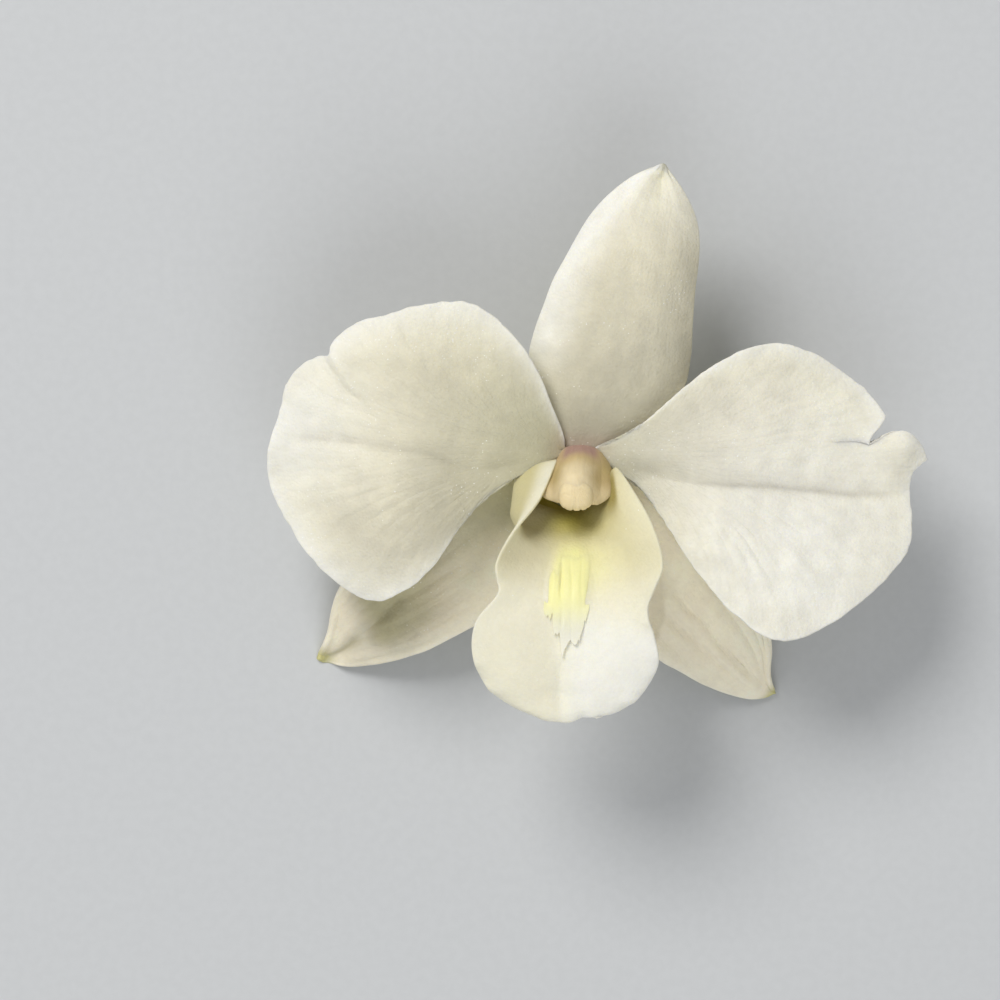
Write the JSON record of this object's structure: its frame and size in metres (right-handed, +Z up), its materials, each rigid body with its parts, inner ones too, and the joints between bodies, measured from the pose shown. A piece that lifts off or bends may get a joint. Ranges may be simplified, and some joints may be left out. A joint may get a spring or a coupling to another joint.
{
  "type": "orchid flower",
  "caption": "Open white dendrobium blossom lying face up: broad petals, narrower sepals, a lobed lip with a toothed crest, a short winged column and a bent stalk.",
  "frame": {"origin": "middle of the flower's footprint, on the surface it lies on", "axes": "+Z up, out of the flower's face; +Y towards the upper sepal; +X to the right in a view of the face with the upper sepal at the top"},
  "size_m": [0.0618, 0.0525, 0.0227],
  "materials": {
    "petal_white": "soft satin petal skin with a fine crystalline sparkle",
    "lip_white": "soft satin, pale yellow in the throat and on the crest",
    "column_cream": "waxy satin, pink at the base",
    "pollen_yellow": "waxy",
    "stalk_green": "smooth satin stem, flushed maroon"
  },
  "bodies": {
    "root": {"petal_left": "petal_white", "petal_right": "petal_white", "upper_sepal": "petal_white", "lateral_sepal_left": "petal_white", "lateral_sepal_right": "petal_white", "labellum": "lip_white", "column": "column_cream", "anther_cap": "column_cream", "pollinium_1": "pollen_yellow", "pollinium_2": "pollen_yellow", "pollinium_3": "pollen_yellow", "pollinium_4": "pollen_yellow", "pedicel": "stalk_green"}
  },
  "joints": []
}
